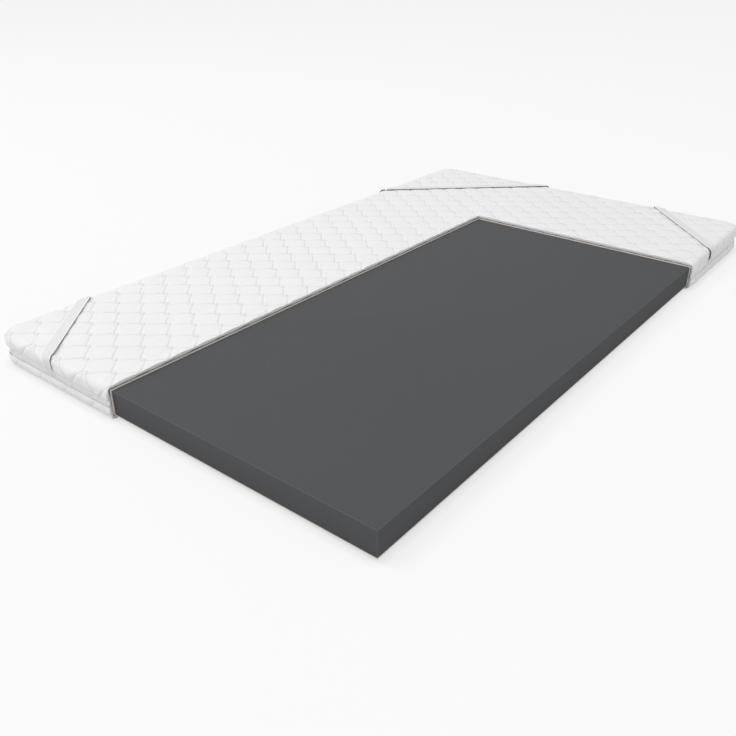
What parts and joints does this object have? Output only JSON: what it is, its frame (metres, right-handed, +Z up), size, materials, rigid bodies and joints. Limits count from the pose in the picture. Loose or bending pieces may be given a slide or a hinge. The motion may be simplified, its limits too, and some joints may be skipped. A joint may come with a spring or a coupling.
{
  "type": "mattress topper",
  "caption": "Foam mattress topper in a quilted, zipped cover with elastic corner straps; part of the cover is cut away to show the foam core and liner.",
  "frame": {"origin": "under the middle of the topper's plan, on the surface that it lies on", "axes": "+X across the width towards the cut-away long side, +Y along the length towards the covered head end, +Z up; the cut-away corner is at +X -Y and the zip's slider is on the side at -X"},
  "size_m": [1.203, 2.003, 0.0876],
  "materials": {
    "charcoal_foam": "open-cell polyurethane foam, matt, cut edges crisp",
    "cream_fleece": "thin cream fleece, matt",
    "white_knit": "white double-knit, quilted in diamonds with looped stitches",
    "fibre_wadding": "light grey polyester fibre wadding",
    "white_scrim": "thin non-woven backing",
    "white_zip_tape": "woven polyester tape",
    "white_coil": "spiral coil of monofilament",
    "white_zip_plastic": "moulded polyester",
    "nickel": "nickel-plated zinc, satin",
    "white_elastic": "woven elastic, finely ribbed"
  },
  "bodies": {
    "topper": {"foam_core": "charcoal_foam", "bottom_liner": "cream_fleece", "top_liner": "cream_fleece", "top_backing": "white_scrim", "top_wadding": "fibre_wadding", "bottom_backing": "white_scrim", "bottom_wadding": "fibre_wadding", "top_quilt_face": "white_knit", "bottom_quilt_face": "white_knit", "zip_tape_upper_left": "white_zip_tape", "zip_tape_upper_right": "white_zip_tape", "zip_tape_lower_left": "white_zip_tape", "zip_tape_lower_right": "white_zip_tape", "zip_coil_upper_left": "white_coil", "zip_coil_upper_right": "white_coil", "zip_coil_lower_left": "white_coil", "zip_coil_lower_right": "white_coil", "zip_top_stop_upper": "nickel", "zip_top_stop_lower": "nickel", "zip_retainer_box": "white_zip_plastic", "zip_insertion_pin": "nickel"},
    "zip_slider": {"zip_slider": "nickel"},
    "zip_pull": {"zip_pull": "nickel"},
    "left_corner_strap": {"left_corner_strap": "white_elastic"},
    "far_corner_strap": {"far_corner_strap": "white_elastic"},
    "right_corner_strap": {"right_corner_strap": "white_elastic"}
  },
  "joints": [
    {"name": "slider_travel", "type": "slide", "parent": "topper", "child": "zip_slider", "axis": [0, -1, 0], "range_m": [0, 1.5]},
    {"name": "pull_swing", "type": "hinge", "parent": "zip_slider", "child": "zip_pull", "pos_m": [-0.5974, 0.602, 0.0355], "axis": [0, 0, -1], "range_deg": [0, 175]},
    {"name": "left_corner_strap_lift", "type": "slide", "parent": "topper", "child": "left_corner_strap", "axis": [0, 0, 1], "range_m": [0, 0.12], "stiffness_N_per_m": 150, "deforming": ["left_corner_strap"]},
    {"name": "far_corner_strap_lift", "type": "slide", "parent": "topper", "child": "far_corner_strap", "axis": [0, 0, 1], "range_m": [0, 0.2], "stiffness_N_per_m": 100, "deforming": ["far_corner_strap"]},
    {"name": "right_corner_strap_lift", "type": "slide", "parent": "topper", "child": "right_corner_strap", "axis": [0, 0, 1], "range_m": [0, 0.14], "stiffness_N_per_m": 130, "deforming": ["right_corner_strap"]}
  ]
}
